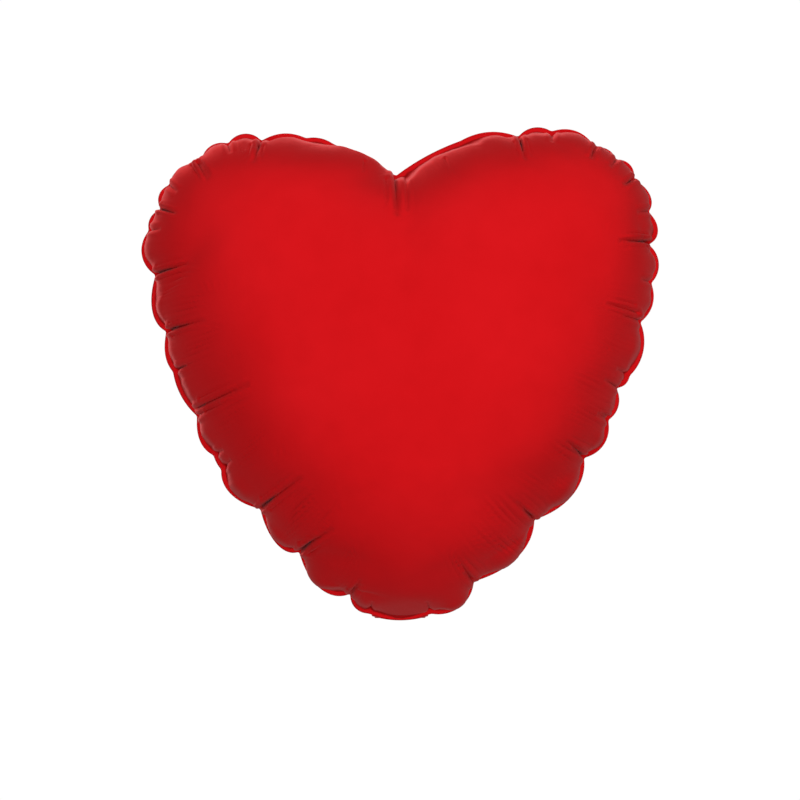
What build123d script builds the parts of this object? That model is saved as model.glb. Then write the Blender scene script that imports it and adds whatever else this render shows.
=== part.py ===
from build123d import *
from math import cos, radians, sin, sqrt
import os

# Heart-shaped foil balloon of the 18 inch class, blown up, with its neck folded up behind it.
#
# Millimetres, +Z up, front towards -Y, and the two panels meet in the plane Y = 0. The origin is the
# middle of the fold at the heart's tip, where the neck leaves the balloon and a ribbon grips it.
#
# Each side of the heart is four tangent arcs: tip, side, lobe and shoulder. Film that is really about
# 0.03 mm thick is drawn at the thicknesses below, so that every wall is a sound solid.

# Heart outline, at the outer edge of the flange
TIP_EDGE = 2.0  # flange edge above the fold, at the tip
TIP_RADIUS = 70.0
TIP_ANGLE = 34.0  # from straight down to where the side arc takes over
SIDE_RADIUS = 350.0
SIDE_ANGLE = 84.7  # from straight down to where the lobe arc takes over
LOBE_RADIUS = 88.6
CLEFT_DROP = 34.0  # cleft below the top of the lobes
FLANGE_WIDTH = 6.0

# Thickness of the layers
FILM = 0.4
WELD_HALF = 0.4  # half of the sealed layer between the two panels
VALVE_FILM = 0.3
VALVE_GAP_HALF = 0.1

# Dome of each panel
DOME_DEPTH = 80.0
DOME_CENTRE_Z = 215.0  # the dome's contours shrink towards this height
DOME_STEPS = (0.0, 13.0, 27.0, 41.0, 55.0, 68.0, 79.0)  # degrees of the dome's rounded profile
DOME_FULLNESS = 2.3  # 2 is an ellipse, more is flatter in the middle
CLEFT_FADE = 2.2  # how soon the cleft's valley fades over the dome

# Neck, drawn hanging straight down from the fold
NECK_ROOT_Z = -1.5
NECK_ROOT_WIDTH = 39.0
NECK_WIDTH = 36.0
NECK_TAPER_LENGTH = 13.0
NECK_LENGTH = 60.0
NECK_CORNER_RADIUS = 5.0
NECK_WELD_WIDTH = 4.0
NECK_END_WELD = 6.0
NECK_REST_ANGLE = 116.0  # how far it is folded back and up from straight down
INFLATION_HOLE_Z = -40.0
INFLATION_HOLE_RADIUS = 5.5
HOLE_CUTTER_SPARE = 1.0  # how far the cutter stands proud of the neck

# One-way valve
VALVE_WIDTH = 28.0
VALVE_WELD_WIDTH = 2.0
VALVE_ROOT_Z = 10.5  # top of the weld that carries the valve across the seam
VALVE_TOP_Z = 100.0
VALVE_FLAP_CLEARANCE = 0.5  # between the weld and the root of the film that lifts
VALVE_NECK_END_Z = -50.0  # lower end of the valve inside the hanging neck
CROSSING_WIDTH = 42.0
CROSSING_GAP_TOP_Z = 21.0  # above the inner edge of the seam's weld
CHANNEL_HALF_HEIGHT = 0.15
COAT_THICKNESS = 0.1


def toward(angle):
    """Unit vector in the heart's plane, at an angle from straight down towards the right."""
    return Vector(sin(radians(angle)), -cos(radians(angle)))


def arc(centre, radius, start, end):
    """Arc between two angles from straight down, about a centre in the heart's plane."""
    middle = (start + end) / 2
    points = [centre + toward(angle) * radius for angle in (start, middle, end)]
    return Edge.make_three_point_arc(*points)


def heart(scale=1.0, inset=0.0, cleft_share=1.0):
    """Closed heart wire in local X-Y, shrunk about the dome's centre and then moved inwards."""
    focus = Vector(0, DOME_CENTRE_Z)
    tip_centre = Vector(0, TIP_EDGE + TIP_RADIUS)
    side_centre = tip_centre - toward(TIP_ANGLE) * (SIDE_RADIUS - TIP_RADIUS)
    lobe_centre = side_centre + toward(SIDE_ANGLE) * (SIDE_RADIUS - LOBE_RADIUS)

    drop = CLEFT_DROP * cleft_share
    shoulder_radius = (lobe_centre.X**2 + drop**2) / (2 * drop)
    shoulder_centre = lobe_centre + Vector(0, LOBE_RADIUS - shoulder_radius)

    def placed(centre, radius):
        return focus + (centre - focus) * scale, radius * scale - inset

    tip_centre, tip_radius = placed(tip_centre, TIP_RADIUS)
    side_centre, side_radius = placed(side_centre, SIDE_RADIUS)
    lobe_centre, lobe_radius = placed(lobe_centre, LOBE_RADIUS)
    shoulder_centre, shoulder_radius = placed(shoulder_centre, shoulder_radius)

    cleft = Vector(0, shoulder_centre.Y + sqrt(shoulder_radius**2 - shoulder_centre.X**2))
    cleft_angle = 180 + Vector(0, 1).get_angle(cleft - shoulder_centre)
    right = [
        arc(tip_centre, tip_radius, 0, TIP_ANGLE),
        arc(side_centre, side_radius, TIP_ANGLE, SIDE_ANGLE),
        arc(lobe_centre, lobe_radius, SIDE_ANGLE, 180),
        arc(shoulder_centre, shoulder_radius, 180, cleft_angle),
    ]
    left = [edge.mirror(Plane.YZ) for edge in reversed(right)]
    return Wire(right + left)


def at_depth(wire, depth):
    """Stands a local X-Y wire upright, at a depth in front of the seam plane."""
    return wire.moved(Plane.XZ.offset(depth).location)


def slab(wire, near, far):
    """Upright plate inside a local X-Y wire, between two depths in front of the seam plane."""
    return Solid.extrude(Face(at_depth(wire, near)), Vector(0, near - far, 0))


def dome(wall):
    """Solid pillow half in front of the seam plane, with its surface moved in by the wall."""
    sections = []
    for step in DOME_STEPS:
        shrink = cos(radians(step)) ** (2 / DOME_FULLNESS)
        rise = sin(radians(step)) / sin(radians(DOME_STEPS[-1]))
        depth = WELD_HALF + (DOME_DEPTH - WELD_HALF - wall) * rise
        sections.append(at_depth(heart(shrink, FLANGE_WIDTH * shrink + wall, shrink**CLEFT_FADE), depth))
    return Solid.make_loft(sections)


def panel():
    """Front panel: a thin dome with a flat flange round it."""
    shell = dome(0) - dome(FILM)
    plate = slab(heart(), WELD_HALF, WELD_HALF + FILM)
    opening = slab(heart(inset=FLANGE_WIDTH + FILM / 2), WELD_HALF, WELD_HALF + FILM)
    return shell + (plate - opening)


def upright_box(width, low_z, high_z, near_y, far_y):
    """Box centred on X = 0 between two heights and two Y values."""
    size = Vector(width, far_y - near_y, high_z - low_z)
    middle = Vector(0, (near_y + far_y) / 2, (low_z + high_z) / 2)
    return Solid.make_box(*size).moved(Location(middle - size / 2))


def seam_weld():
    """Sealed layer between the two flanges, open where the valve crosses it."""
    ring = slab(heart(), -WELD_HALF, WELD_HALF) - slab(heart(inset=FLANGE_WIDTH), -WELD_HALF, WELD_HALF)
    crossing = upright_box(CROSSING_WIDTH, 0, CROSSING_GAP_TOP_Z, -WELD_HALF, WELD_HALF)
    return ring - crossing


def crossing_weld():
    """Weld that carries the valve across the seam, with the gas channel through it."""
    block = upright_box(CROSSING_WIDTH, 0, VALVE_ROOT_Z, -WELD_HALF, WELD_HALF)
    channel_width = VALVE_WIDTH - 2 * VALVE_WELD_WIDTH
    channel = upright_box(channel_width, 0, VALVE_ROOT_Z, -CHANNEL_HALF_HEIGHT, CHANNEL_HALF_HEIGHT)
    return (block & slab(heart(), -WELD_HALF, WELD_HALF)) - channel


def release_coat():
    """Printed coat on one side of the channel, which keeps the weld from closing it."""
    width = VALVE_WIDTH - 2 * VALVE_WELD_WIDTH
    coat = upright_box(width, 0, VALVE_ROOT_Z, CHANNEL_HALF_HEIGHT - COAT_THICKNESS, CHANNEL_HALF_HEIGHT)
    return coat & slab(heart(), -WELD_HALF, WELD_HALF)


def valve_front_film():
    front = -VALVE_GAP_HALF - VALVE_FILM
    return upright_box(VALVE_WIDTH, VALVE_ROOT_Z, VALVE_TOP_Z, front, -VALVE_GAP_HALF)


def valve_rear_film():
    """The film that lifts to let gas past, so its root stands clear of the weld below it."""
    root = VALVE_ROOT_Z + VALVE_FLAP_CLEARANCE
    rear = VALVE_GAP_HALF + VALVE_FILM
    return upright_box(VALVE_WIDTH, root, VALVE_TOP_Z, VALVE_GAP_HALF, rear)


def both_sides(solid, x):
    """The solid at +x and its mirror image at -x."""
    right = solid.moved(Location((x, 0, 0)))
    return Compound(children=[right, right.mirror(Plane.YZ)])


def valve_side_welds():
    strip = upright_box(VALVE_WELD_WIDTH, VALVE_ROOT_Z, VALVE_TOP_Z, -VALVE_GAP_HALF, VALVE_GAP_HALF)
    return both_sides(strip, (VALVE_WIDTH - VALVE_WELD_WIDTH) / 2)


def neck_bottom():
    """Height of the lower end of the hanging neck."""
    return NECK_ROOT_Z - NECK_LENGTH


def neck_outline():
    """Closed wire of the neck in local X-Y, wide at the fold, with rounded lower corners."""
    taper_end = NECK_ROOT_Z - NECK_TAPER_LENGTH
    bottom = neck_bottom()
    half = NECK_WIDTH / 2
    root_half = NECK_ROOT_WIDTH / 2
    radius = NECK_CORNER_RADIUS
    corner_centre = Vector(half - radius, bottom + radius)
    right = [
        Edge.make_line((root_half, NECK_ROOT_Z), (half, taper_end)),
        Edge.make_line((half, taper_end), (half, bottom + radius)),
        arc(corner_centre, radius, 90, 0),
        Edge.make_line((half - radius, bottom), (0, bottom)),
    ]
    left = [edge.mirror(Plane.YZ) for edge in reversed(right)]
    root = Edge.make_line((-root_half, NECK_ROOT_Z), (root_half, NECK_ROOT_Z))
    return Wire(right + left + [root])


def inflation_hole():
    """Cutter for the round hole that the inflator's nozzle goes into, in the neck's front layers."""
    reach = WELD_HALF + FILM + HOLE_CUTTER_SPARE
    cutter = Solid.make_cylinder(INFLATION_HOLE_RADIUS, reach)
    return cutter.moved(Location((0, -VALVE_GAP_HALF, INFLATION_HOLE_Z), (90, 0, 0)))


def neck_film():
    """Front film of the neck, without its hole."""
    return slab(neck_outline(), WELD_HALF, WELD_HALF + FILM)


def neck_layer():
    """The layer between the neck's two films, before it is parted into its welds."""
    return slab(neck_outline(), -WELD_HALF, WELD_HALF)


def neck_end():
    """Block round the part of the neck's layer that the weld across its end takes up."""
    top = neck_bottom() + NECK_END_WELD
    return upright_box(NECK_ROOT_WIDTH, neck_bottom(), top, -WELD_HALF, WELD_HALF)


def neck_side_welds():
    pocket_width = NECK_WIDTH - 2 * NECK_WELD_WIDTH
    pocket = upright_box(pocket_width, neck_bottom(), 0, -WELD_HALF, WELD_HALF)
    return neck_layer() - pocket - neck_end()


def neck_end_weld():
    return neck_layer() & neck_end()


def neck_valve_film():
    """Lower end of the valve's front film, inside the neck, without its hole."""
    front = -VALVE_GAP_HALF - VALVE_FILM
    return upright_box(VALVE_WIDTH, VALVE_NECK_END_Z, NECK_ROOT_Z, front, -VALVE_GAP_HALF)


def folded(solid):
    """Turns a piece of the hanging neck back and up about the fold, to where it is stored."""
    return solid.rotate(Axis.X, NECK_REST_ANGLE)


def to_rear(solid):
    return solid.mirror(Plane.XZ)


def parts():
    """Every sub-part by its node's name."""
    return {
        "front_panel": panel(),
        "rear_panel": to_rear(panel()),
        "seam_weld": seam_weld(),
        "valve_crossing_weld": crossing_weld(),
        "valve_release_coat": release_coat(),
        "valve_front_film": valve_front_film(),
        "valve_rear_film": valve_rear_film(),
        "valve_side_welds": valve_side_welds(),
        "neck_front_film": folded(neck_film() - inflation_hole()),
        "neck_rear_film": folded(to_rear(neck_film())),
        "neck_side_welds": folded(neck_side_welds()),
        "neck_end_weld": folded(neck_end_weld()),
        "neck_valve_front_film": folded(neck_valve_film() - inflation_hole()),
        "neck_valve_rear_film": folded(to_rear(neck_valve_film())),
    }


os.makedirs("parts", exist_ok=True)
for name, shape in parts().items():
    shape.label = name
    export_step(shape, f"parts/{name}.step")
    print(name, "volume", round(shape.volume, 1), "valid", shape.is_valid)
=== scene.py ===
import math
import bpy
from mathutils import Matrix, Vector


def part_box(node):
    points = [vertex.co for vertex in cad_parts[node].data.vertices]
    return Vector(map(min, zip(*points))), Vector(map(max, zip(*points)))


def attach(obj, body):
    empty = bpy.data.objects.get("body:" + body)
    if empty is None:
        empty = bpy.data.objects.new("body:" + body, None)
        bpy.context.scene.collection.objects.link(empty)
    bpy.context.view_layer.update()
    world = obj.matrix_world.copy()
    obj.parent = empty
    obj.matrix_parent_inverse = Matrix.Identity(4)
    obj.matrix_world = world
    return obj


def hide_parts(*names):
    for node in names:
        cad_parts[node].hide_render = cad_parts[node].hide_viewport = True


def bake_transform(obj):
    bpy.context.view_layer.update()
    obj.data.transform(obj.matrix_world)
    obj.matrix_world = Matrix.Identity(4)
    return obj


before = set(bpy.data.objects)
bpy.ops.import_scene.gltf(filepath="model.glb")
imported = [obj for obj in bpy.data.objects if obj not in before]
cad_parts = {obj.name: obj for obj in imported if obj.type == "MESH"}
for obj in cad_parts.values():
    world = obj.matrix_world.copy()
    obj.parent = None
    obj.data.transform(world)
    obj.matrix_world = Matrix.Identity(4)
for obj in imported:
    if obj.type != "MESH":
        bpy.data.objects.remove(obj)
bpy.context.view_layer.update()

from types import SimpleNamespace

import bmesh
import bpy
import numpy as np
from mathutils import Vector
from mathutils.geometry import delaunay_2d_cdt

# A heart-shaped foil balloon. Metres, +Z up, front towards -Y, seam in the plane Y = 0.
MM = 0.001

# Half the weld's thickness, as in the frame so the valve fits inside it, the film's, and the flange's width.
WELD_HALF = 0.4 * MM
FOIL = 0.25 * MM
FLANGE = 4.5 * MM

# The smooth outline of the blown-up heart: tip, side and lobe arcs, then the shoulder into the cleft.
TIP_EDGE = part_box("front_panel")[0].z
TIP_RADIUS, TIP_ANGLE = 70 * MM, 34.0
SIDE_RADIUS, SIDE_ANGLE = 350 * MM, 84.7
LOBE_RADIUS = 88.6 * MM
CLEFT_DROP = 34 * MM
HEART_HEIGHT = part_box("front_panel")[1].z
CENTRE = np.array([0.0, 0.215])

# The panels before they were blown up are this much larger, and a little more about the cleft, over
# this many degrees.
FLAT_SCALE = 1.19
CLEFT_EXTRA = 0.15
CLEFT_SPREAD = 24.0

# Where the seam is gathered: x, z, how far the lobe after it stands out, how far its fold runs in,
# and how far the lobe's peak leans towards the next gather (mm). Anticlockwise from the neck's right.
GATHERS = np.array((
    (23, 7, 9.2, 8, 0), (55, 31, 10.5, 16, 4), (100, 77, 10.8, 20, 3), (137, 123, 7.0, 24, 0),
    (155, 151, 5.0, 14, 0), (161, 175, 2.7, 18, 0), (171, 184, 6.5, 20, 0), (179, 224, 5.2, 32, 0),
    (187, 253, 6.9, 8, 0), (185, 282, 7.0, 42, -2), (185, 306, 6.6, 12, -2), (174, 330, 5.3, 14, 0),
    (161, 345, 3.8, 8, 0), (145, 354, 6.5, 14, 0), (113, 366, 5.2, 10, 0), (88, 362, 5.0, 22, 0),
    (45, 359, 2.2, 0, 0), (-3, 333, 0.3, 0, 0), (-50, 357, 2.2, 0, 0), (-70, 361, 4.4, 0, 0),
    (-103, 359, 6.6, 28, 0), (-128, 357, 6.3, 10, 0), (-148, 342, 6.3, 30, 0), (-172, 326, 4.8, 12, 0),
    (-178, 308, 4.0, 24, 0), (-187, 292, 7.8, 12, 0), (-182, 259, 7.5, 46, 4), (-174, 217, 3.5, 46, 2),
    (-169, 187, 3.4, 20, 0), (-151, 154, 5.0, 60, 2), (-139, 125, 0.7, 8, 0), (-133, 114, 7.6, 16, -3),
    (-104, 85, 8.6, 46, 6), (-75, 53, 11.2, 42, 5), (-37, 22, 4.9, 18, 0), (-23, 7, 4.9, 8, 0),
), float) * MM
RISE, FOLD, LEAN = 2, 3, 4
# The lobes sway to the front and the rear in turn, those under SEAM_WAVE_SPAN long less, and the
# flange's inner edge less than its outer one.
SEAM_WAVE = 2 * MM
SEAM_WAVE_SPAN = 30 * MM
INNER_WAVE_SHARE = 0.6

# The mesh: fine at the seam, coarser towards the middle. The gaps, as shares of the spacing, keep out
# slivers, and the least length and area keep out division by zero.
SEAM_STEP = 3.2 * MM
MIDDLE_STEP = 9.0 * MM
FINE_BAND = 90 * MM
RING_GAP = 0.85
ROW_GAP = 0.6
LAST_ROW = 0.97
MESH_PRECISION = 1e-7
LEAST_LENGTH, LEAST_AREA = 1e-12, 1e-9
SUBDIVISIONS = 2

# The cloth simulation that blows the panels up.
FIRST_GAP = 0.4 * MM
FIRST_BULGE, FIRST_BULGE_REACH = 2 * MM, 30 * MM
FIRST_ROUGHNESS = 0.1 * MM
FILM_SEED = 7
PRESSURE = 60
FILM_MASS = 0.02
TENSION, COMPRESSION, SHEAR, BENDING = 80, 3, 8, 0.1
SIM_QUALITY = 6
GATHER_FRAMES, SIM_FRAMES = 14, 26

# The blown-up film is ironed, EDGE_CALM of the way by the seam and fully from CALM_TO in.
CALM_FROM, CALM_TO = 0.5 * MM, 22 * MM
CALM_OUT, CALM_BACK, CALM_ROUNDS = 0.5, -0.53, 60
EDGE_CALM = 0.9
# It settles this share of the way to an even dome of this height and fullness.
DOME_HEIGHT = -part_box("front_panel")[0].y
DOME_FULLNESS, DOME_SHARE = 0.36, 0.85
DOME_FROM, DOME_TO = 1 * MM, 12 * MM

# Each lobe of the film swells out over the weld: this much, and this share of its rise, times a
# factor that goes from the first at the tip to the second at the top.
PUFF, PUFF_OF_RISE = 1.6 * MM, 0.32
PUFF_LOW, PUFF_HIGH = 1.5, 0.5
PUFF_PEAK = 6 * MM
PUFF_SPAN = 25 * MM
# How far apart on the seam the points are that decide a point's place along it, and how many points
# are worked out at once.
BLUR, BLUR_GROWTH = 2.5 * MM, 0.35
BATCH = 2000

# Folds that run in over the front panel, from near the seam to their inner end:
# x, z, x, z, how deep, how wide to each side before FOLD_TIGHTNESS (mm).
FRONT_FOLDS = np.array((
    (-104, 354, -106, 338, 3.5, 4), (-149, 340, -140, 326, 3.0, 3), (-153, 338, -146, 328, 2.0, 2.5),
    (-177, 307, -162, 302, 3.0, 3.5), (-180, 259, -153, 265, 4.0, 4), (-171, 217, -140, 224, 4.0, 4),
    (-166, 188, -150, 193, 2.0, 3), (-149, 160, -108, 178, 4.5, 4.5), (-101, 88, -70, 111, 4.0, 4.5),
    (-73, 56, -48, 74, 4.0, 4.5), (-36, 26, -28, 36, 2.5, 3.5), (88, 357, 91, 340, 3.0, 4),
    (142, 350, 139, 342, 2.0, 3), (171, 329, 165, 323, 2.5, 3.5), (184, 283, 158, 282, 4.0, 4),
    (173, 230, 149, 236, 3.0, 4), (157, 153, 146, 158, 2.5, 3.5), (134, 126, 120, 137, 2.5, 4),
    (97, 81, 84, 93, 2.5, 4), (53, 36, 44, 47, 2.5, 4), (-3, 331, -2, 298, 4.0, 6),
    (33, 342, 36, 334, 1.2, 2.5), (-26, 340, -27, 331, 1.0, 2.5),
), float) * MM
# A deep fold has a fainter one on each side. As shares of its own: which side and how long, then where
# it starts, how far off it is, how deep and how wide.
DEEP_FOLD = 3 * MM
BESIDE_FOLD = ((1, 0.75), (-1, 0.6))
BESIDE_START, BESIDE_OFF, BESIDE_DEPTH, BESIDE_WIDTH = 0.15, 1.2, 0.3, 0.7
# A short fold starts at every gather that has a fold length, the longer where that is long.
NOTCH_DEPTH, NOTCH_WIDTH = 3 * MM, 5 * MM
NOTCH_REACH, NOTCH_SHARE = 5 * MM, 0.25
# On the rear panel the folds are this much longer than in GATHERS, times a random size. They lean at
# random, and those shorter than FULL_FOLD are shallower.
REAR_FOLD_GAIN = 1.5
REAR_FOLD_SIZES = (0.6, 1.3)
REAR_FOLD_LEAN = 0.25
FULL_FOLD, SHALLOWEST = 20 * MM, 0.4
FOLD_DEPTH, FOLD_WIDTH = 3.5 * MM, 4 * MM
# A fold's section: a valley, narrower than the fold's width by FOLD_TIGHTNESS, with a low lip beside
# it. It fades along the fold's length, and into the seam.
FOLD_TIGHTNESS, FOLD_ROUNDNESS = 0.55, 1.5
FOLD_LIP, FOLD_LIP_AT, FOLD_LIP_WIDTH = 0.25, 1.5, 0.5
FOLD_SHARPNESS = 0.55
FOLD_RAMP = 2.5 * MM

# Where the film is combed into fine parallel wrinkles: x, z, how far round they reach,
# how deep they are (mm).
WRINKLED = np.array((
    (-152, 232, 20, 0.60), (-140, 205, 22, 0.60), (-122, 160, 20, 0.52), (-103, 135, 22, 0.52),
    (-66, 84, 20, 0.83), (-82, 100, 12, 0.45), (-40, 50, 16, 0.38), (77, 72, 24, 0.83),
    (48, 48, 16, 0.68), (100, 96, 16, 0.52), (124, 130, 16, 0.83), (140, 163, 20, 0.68),
    (150, 200, 16, 0.45), (-160, 258, 14, 0.52), (156, 236, 14, 0.45), (160, 283, 12, 0.45),
    (-120, 345, 12, 0.38), (34, 336, 10, 0.30),
), float) * MM
WRINKLE_PITCH = 4.6 * MM
WRINKLE_FLOOR = 0.04 * MM
WRINKLE_RAMP = 10 * MM
# The ridges are this share of the valleys' height.
WRINKLE_RIDGE = 0.45
# Their phase drifts in waves of this height (radians) and length (wrinkles), and their size swings.
PITCH_DRIFT = ((1.1, 5.3), (0.8, 2.7))
SIZE_MEAN, SIZE_SWING, SIZE_LENGTH, SIZE_DEPTH = 0.65, 0.35, 7.1, 12 * MM
# Broad low waves along the seam.
WAVE_HEIGHT, WAVE_PITCH, WAVE_REACH = 0.25 * MM, 13 * MM, 14 * MM
# How strong the painted shade in the wrinkles is, against that in the folds, and the depth where it is
# darkest.
WRINKLE_PAINTED_SHADE, WRINKLE_DEEPEST = 0.6, 0.8 * MM

# The film's colour is darkened, a painted shade for the groove where it rolls up off the weld, between these
# distances from it.
ROLL_SHADE_FROM, ROLL_SHADE_TO = (0.2 * MM, 1.2 * MM), (3 * MM, 9 * MM)

# The seeds of the rear folds and of each panel's wrinkles.
REAR_FOLD_SEED, FRONT_SEED, REAR_SEED = 5, 11, 12

# The neck, measured down from the fold.
NECK_ROOT_HALF, NECK_HALF = 19.5 * MM, 18 * MM
NECK_TAPER, NECK_LENGTH, NECK_CORNER = 13 * MM, 61.5 * MM, 5 * MM
NECK_ANGLE = math.radians(116)
NECK_WELD, NECK_END_WELD = 4 * MM, 6 * MM
BAND_START = 3 * MM
VALVE_HALF, VALVE_END = 14 * MM, 50 * MM
VALVE_GAP_HALF, VALVE_CLEARANCE = 0.1 * MM, 0.02 * MM
NECK_STEP = 1.6 * MM
FOLD_RADIUS = 0.9 * MM
FOLD_REACH = FOLD_RADIUS * math.tan(NECK_ANGLE / 2)
NECK_START = -0.6 * FOLD_REACH
# The hole, its sides, and in radii how far off it the sheet's points stay and where the sheet begins.
HOLE_DROP, HOLE_RADIUS = 40 * MM, 5.5 * MM
HOLE_SIDES, HOLE_GAP, HOLE_EDGE = 32, 1.2, 0.99
# The neck's film isn't flat: it curls along its length, cups across it, and ripples.
CURL, CURL_TURN, CURL_START, CURL_GROWTH = 1.2 * MM, 3.1, 0.4, 1.5
CUP = 0.9 * MM
RIPPLE, RIPPLE_ACROSS, RIPPLE_DOWN, RIPPLE_GROWTH = 0.3 * MM, 3.1 * MM, 9 * MM, 3
# The film is pressed in to leave this much room for the folded neck, which lies along one panel at
# rest and along the other at its limit. The pressing starts and ends softly.
NECK_ROOM = 3.4 * MM
NECK_ROOM_FROM, NECK_ROOM_TO = 0.8 * MM, 6 * MM
NECK_PRESS_FROM, NECK_PRESS_TO = 20 * MM, 44 * MM
NECK_PRESS_BLEND, NECK_PRESS_RAMP = 3 * MM, 4 * MM

# Colours.
FOIL_RED = (0.74, 0.006, 0.009)
FOIL_RED_PALE = (0.80, 0.008, 0.012)
# A shaded copy of the foil red: painted shade in the folds, wrinkles and along the roll off the weld.
FOIL_RED_PAINTED_SHADE = (0.28, 0.008, 0.008)
FOIL_GLINT = (0.75, 0.15, 0.15)
WELD_RED = (0.45, 0.01, 0.012)
WELD_RED_PALE = (0.58, 0.02, 0.02)
MILKY = (0.82, 0.84, 0.85)
CHALK = (0.75, 0.74, 0.70)
CHALK_DARK = (0.66, 0.65, 0.62)
CHALK_PALE = (0.82, 0.81, 0.78)
PAPER = (0.9, 0.9, 0.9)

# The studio. Lights: name, place, size, watts.
BACKDROP_RADIUS, BACKDROP_BEND, BACKDROP_HEIGHT, FLOOR_Z = 5.0, 1.2, 4.5, -0.45
LIGHTS = (("key", (0.45, -2.2, 0.75), 6.8, 102), ("back_fill", (-0.6, 2.2, 1.1), 3.0, 40))
LIT_POINT = Vector((0, 0, 0.17))
ROOM_LIGHT = 0.3
CAMERA_PLACE = (0, -1.655, 0.1661)
LENS, SENSOR = 100, 36


def toward(angle):
    """The direction at this many degrees from straight down, turning towards +X."""
    return np.array([math.sin(math.radians(angle)), -math.cos(math.radians(angle))])


def arc(centre, radius, start, end, count=300):
    """Points along an arc, between two directions in degrees."""
    return np.array([centre + toward(a) * radius for a in np.linspace(start, end, count)])


def heart():
    """The smooth outline, anticlockwise from the tip."""
    tip = np.array([0, TIP_RADIUS + TIP_EDGE])
    side = tip + toward(TIP_ANGLE) * (TIP_RADIUS - SIDE_RADIUS)
    lobe = side + toward(SIDE_ANGLE) * (SIDE_RADIUS - LOBE_RADIUS)
    radius = (lobe[0] ** 2 + CLEFT_DROP ** 2) / (2 * CLEFT_DROP)
    shoulder = np.array([lobe[0], lobe[1] + LOBE_RADIUS - radius])
    sweep = math.degrees(math.asin(lobe[0] / radius))
    right = np.concatenate([
        arc(tip, TIP_RADIUS, 0, TIP_ANGLE),
        arc(side, SIDE_RADIUS, TIP_ANGLE, SIDE_ANGLE)[1:],
        arc(lobe, LOBE_RADIUS, SIDE_ANGLE, 180)[1:],
        arc(shoulder, radius, 180, 180 + sweep)[1:],
    ])
    return np.concatenate([right, right[::-1][1:-1] * [-1, 1]])


def steps(points):
    """Distance along a line of points at each of them."""
    return np.concatenate([[0], np.cumsum(np.linalg.norm(np.diff(points, axis=0), axis=1))])


def closed(points):
    """The same line, back to its first point."""
    return np.concatenate([points, points[:1]])


def spaced(outline, count, start=0.0):
    """That many points evenly along a closed outline."""
    line = closed(outline)
    along = steps(line)
    at = (np.arange(count) + start) / count * along[-1]
    return np.stack([np.interp(at, along, line[:, k]) for k in (0, 1)], axis=1)


def inward(outline, reach=1):
    """The inward normal at each point of an anticlockwise outline."""
    run = sum(np.roll(outline, -k, 0) - np.roll(outline, k, 0) for k in range(1, reach + 1))
    run /= np.linalg.norm(run, axis=1)[:, None]
    return np.stack([-run[:, 1], run[:, 0]], axis=1)


def distance_to(points, outline):
    """The distance from each point to a closed outline."""
    nearest = np.full(len(points), np.inf)
    for a, b in zip(outline, np.roll(outline, -1, 0)):
        share = np.clip((points - a) @ (b - a) / ((b - a) @ (b - a)), 0, 1)
        nearest = np.minimum(nearest, np.linalg.norm(points - a - share[:, None] * (b - a), axis=1))
    return nearest


def inside(points, outline):
    """Whether each point is inside a closed outline."""
    odd = np.zeros(len(points), bool)
    for a, b in zip(outline, np.roll(outline, -1, 0)):
        crosses = (a[1] > points[:, 1]) != (b[1] > points[:, 1])
        if crosses.any():
            odd ^= crosses & (points[:, 0] < (b[0] - a[0]) * (points[:, 1] - a[1]) / (b[1] - a[1]) + a[0])
    return odd


def ease(value, low, high):
    """0 below low, 1 above high, smooth between."""
    share = np.clip((value - low) / (high - low), 0, 1)
    return share * share * (3 - 2 * share)


def bearing(points):
    """Degrees about the heart's centre, 0 at the tip, anticlockwise."""
    return (np.degrees(np.arctan2(points[..., 1] - CENTRE[1], points[..., 0] - CENTRE[0])) + 90) % 360


def flat_outline():
    """The panels' outline before they were blown up."""
    smooth = heart()
    off_cleft = bearing(smooth) - 180
    scale = FLAT_SCALE + CLEFT_EXTRA * np.exp(-((off_cleft / CLEFT_SPREAD) ** 2))
    outline = CENTRE + (smooth - CENTRE) * scale[:, None]
    count = round(steps(closed(outline))[-1] / SEAM_STEP)
    return spaced(outline, count)


def lobe_arc(a, b, rise, lean, count=60):
    """The arc from a to b that stands out by rise on its right, with its peak moved towards b."""
    chord = np.linalg.norm(b - a)
    along = (b - a) / chord
    out = np.array([along[1], -along[0]])
    radius = (chord ** 2 / 4 + rise ** 2) / (2 * rise)
    half = math.asin(min(1.0, chord / 2 / radius))
    turn = np.linspace(-half, half, count)
    across = radius * np.cos(turn) - (radius - rise)
    ahead = radius * np.sin(turn) + lean * across / rise
    return (a + b) / 2 + np.outer(ahead, along) + np.outer(across, out)


# How far the folded neck's root is lifted to follow the seam's edge, across the neck and along it.
LIFT_LINE = lobe_arc(GATHERS[-1, :2], GATHERS[0, :2], GATHERS[-1, RISE], 0)
LIFT_RUN = 9 * MM


def gather_places(outer):
    """The index on the flat outline of each gather."""
    here, there = bearing(outer), bearing(GATHERS[:, :2])
    return np.array([np.argmin(np.abs((here - a + 180) % 360 - 180)) for a in there])


def gathered_seam(outer, places):
    """Where the outer edge of the seam lies once it is gathered into lobes."""
    seam = np.zeros((len(outer), 3))
    for k, row in enumerate(GATHERS):
        after = (k + 1) % len(GATHERS)
        count = (places[after] - places[k]) % len(outer)
        line = lobe_arc(row[:2], GATHERS[after, :2], row[RISE], row[LEAN])
        along = steps(line)
        share = np.arange(count) / count
        at = (places[k] + np.arange(count)) % len(outer)
        for axis, column in ((0, 0), (2, 1)):
            seam[at, axis] = np.interp(share * along[-1], along, line[:, column])
        is_neck_root = after == 0
        wave = 0 if is_neck_root else SEAM_WAVE * (-1) ** k * min(1, along[-1] / SEAM_WAVE_SPAN)
        seam[at, 1] = wave * np.sin(np.pi * share)
    return seam


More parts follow.
